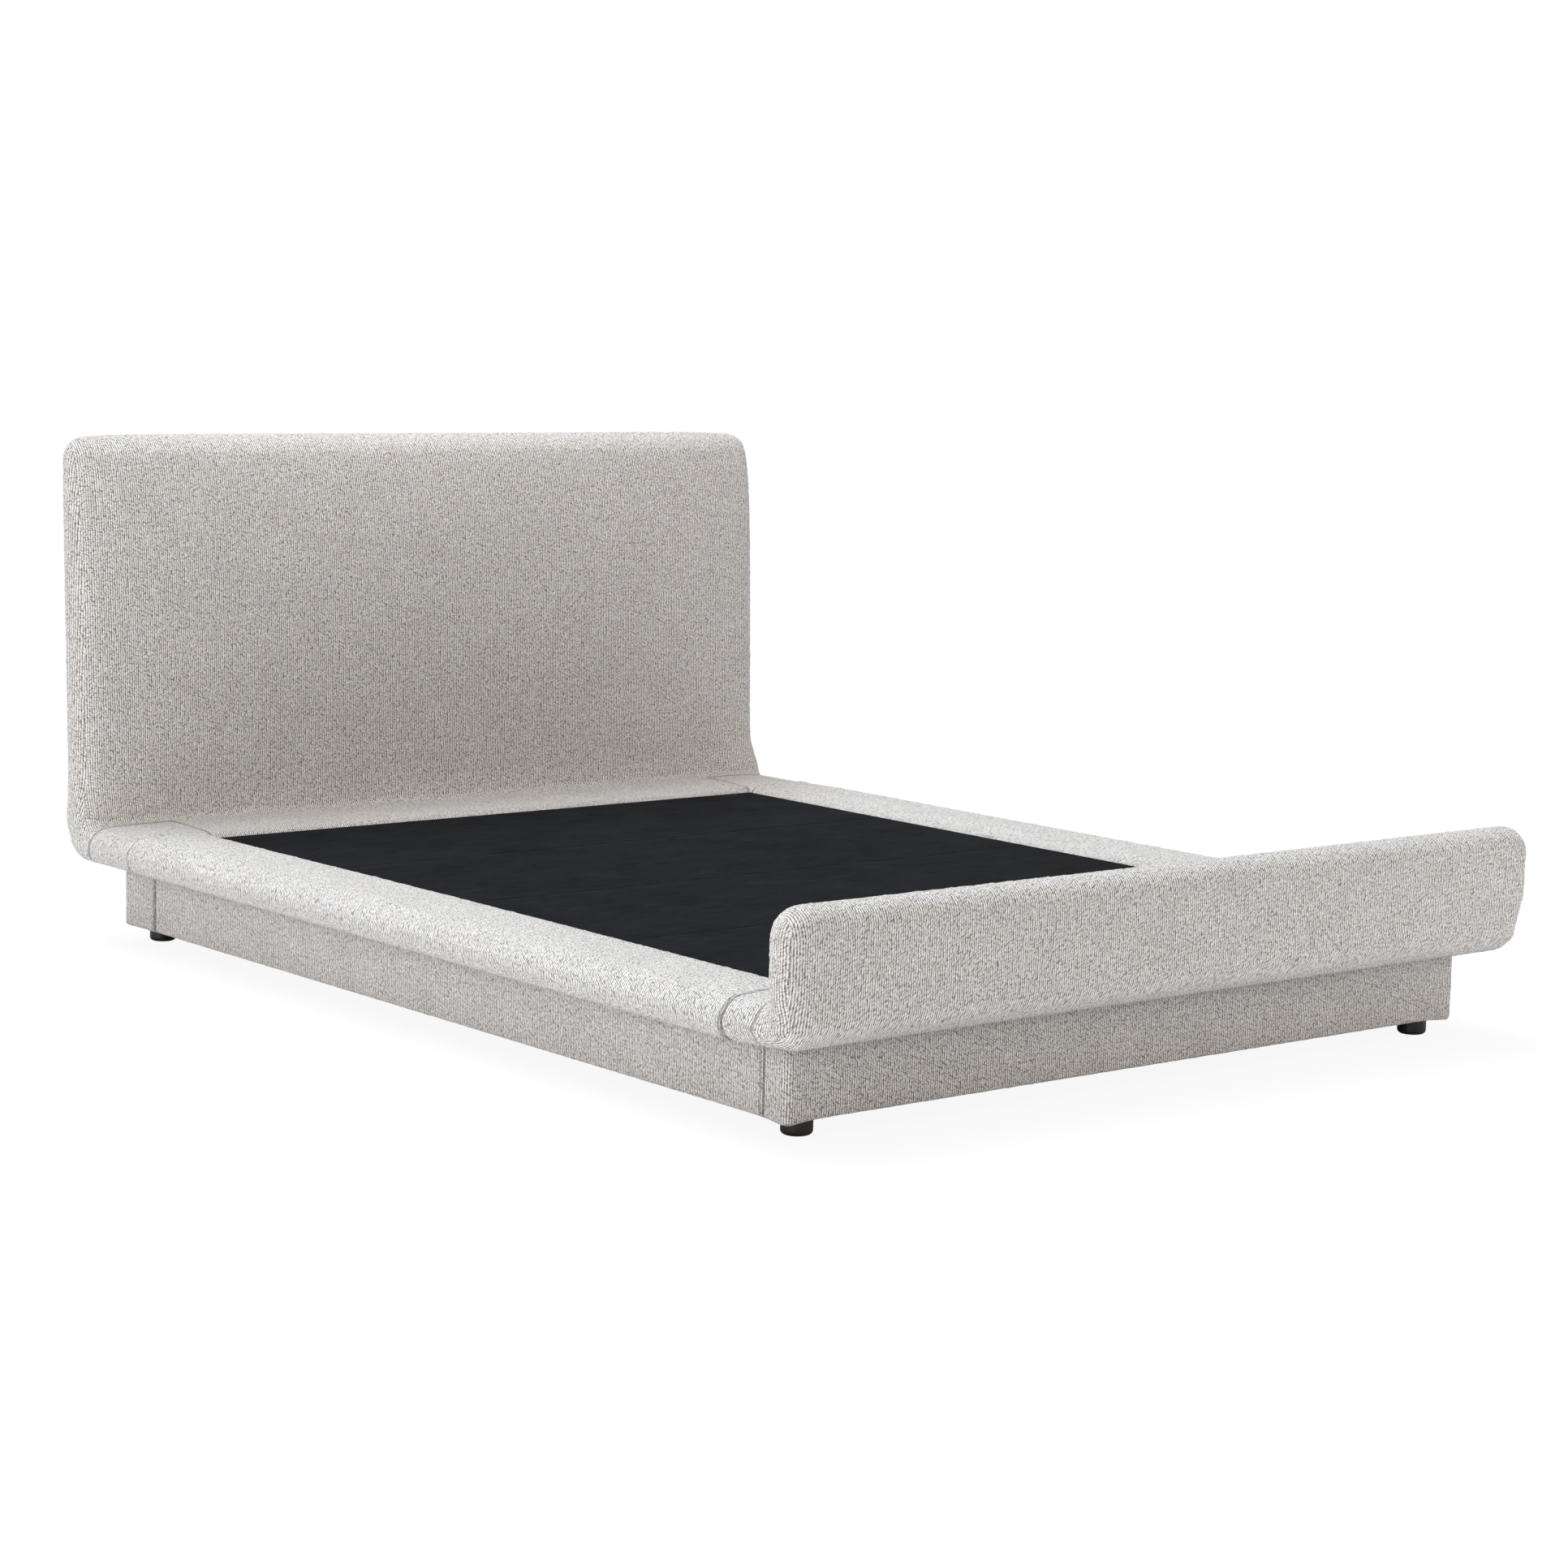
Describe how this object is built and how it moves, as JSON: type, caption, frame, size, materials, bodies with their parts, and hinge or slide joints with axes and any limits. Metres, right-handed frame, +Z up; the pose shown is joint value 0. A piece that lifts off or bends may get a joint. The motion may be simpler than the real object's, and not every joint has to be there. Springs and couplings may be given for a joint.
{
  "type": "upholstered headboard bed",
  "caption": "Low platform bed wrapped in bouclé: padded headboard and low footboard curve up from a wide cushioned ledge round a black deck, over a recessed plinth on feet.",
  "frame": {"origin": "centre of the bed's outline at floor level", "axes": "+Z up, +Y towards the headboard, +X towards the right-hand side seen from the foot"},
  "size_m": [2, 2.6998, 1.161],
  "materials": {
    "boucle": "matte",
    "black_nonwoven": "matte",
    "foam": "matte",
    "black_plastic": "satin",
    "glide": "satin",
    "zinc_steel": "satin",
    "plywood": "matte",
    "timber": "matte"
  },
  "bodies": {
    "root": {"beam_hangers": "zinc_steel", "bracket_bolts": "zinc_steel", "centre_beam": "timber", "centre_leg_back": "timber", "centre_leg_front": "timber", "centre_leg_middle": "timber", "corner_blocks": "timber", "corner_brackets": "zinc_steel", "deck_battens": "timber", "deck_cloth_1": "black_nonwoven", "deck_cloth_2": "black_nonwoven", "deck_cloth_3": "black_nonwoven", "deck_cloth_4": "black_nonwoven", "deck_panel_1": "plywood", "deck_panel_2": "plywood", "deck_panel_3": "plywood", "deck_panel_4": "plywood", "foot_back_left": "black_plastic", "foot_back_right": "black_plastic", "foot_cross_rail": "timber", "foot_front_left": "black_plastic", "foot_front_right": "black_plastic", "foot_ledge_board": "plywood", "foot_ledge_foam": "foam", "foot_screws": "zinc_steel", "footboard_cleat": "timber", "footboard_core": "plywood", "footboard_cover": "boucle", "footboard_foam": "foam", "head_cross_rail": "timber", "head_ledge_board": "plywood", "head_ledge_foam": "foam", "headboard_back_panel": "plywood", "headboard_cover": "boucle", "headboard_face_panel": "plywood", "headboard_foam": "foam", "headboard_gussets": "plywood", "headboard_posts": "timber", "headboard_rail_bottom": "timber", "headboard_rail_middle": "timber", "headboard_rail_top": "timber", "left_ledge_board": "plywood", "left_rail_cover": "boucle", "left_rail_foam": "foam", "left_side_rail": "timber", "plinth_back_board": "timber", "plinth_back_cover": "boucle", "plinth_front_board": "timber", "plinth_front_cover": "boucle", "plinth_left_board": "timber", "plinth_left_cover": "boucle", "plinth_right_board": "timber", "plinth_right_cover": "boucle", "right_ledge_board": "plywood", "right_rail_cover": "boucle", "right_rail_foam": "foam", "right_side_rail": "timber"},
    "glide_front": {"glide_front": "glide"},
    "glide_middle": {"glide_middle": "glide"},
    "glide_back": {"glide_back": "glide"}
  },
  "joints": [
    {"name": "glide_front_screw", "type": "slide", "parent": "root", "child": "glide_front", "axis": [0, 0, -1], "range_m": [-0.009, 0.009]},
    {"name": "glide_middle_screw", "type": "slide", "parent": "root", "child": "glide_middle", "axis": [0, 0, -1], "range_m": [-0.009, 0.009]},
    {"name": "glide_back_screw", "type": "slide", "parent": "root", "child": "glide_back", "axis": [0, 0, -1], "range_m": [-0.009, 0.009]}
  ]
}
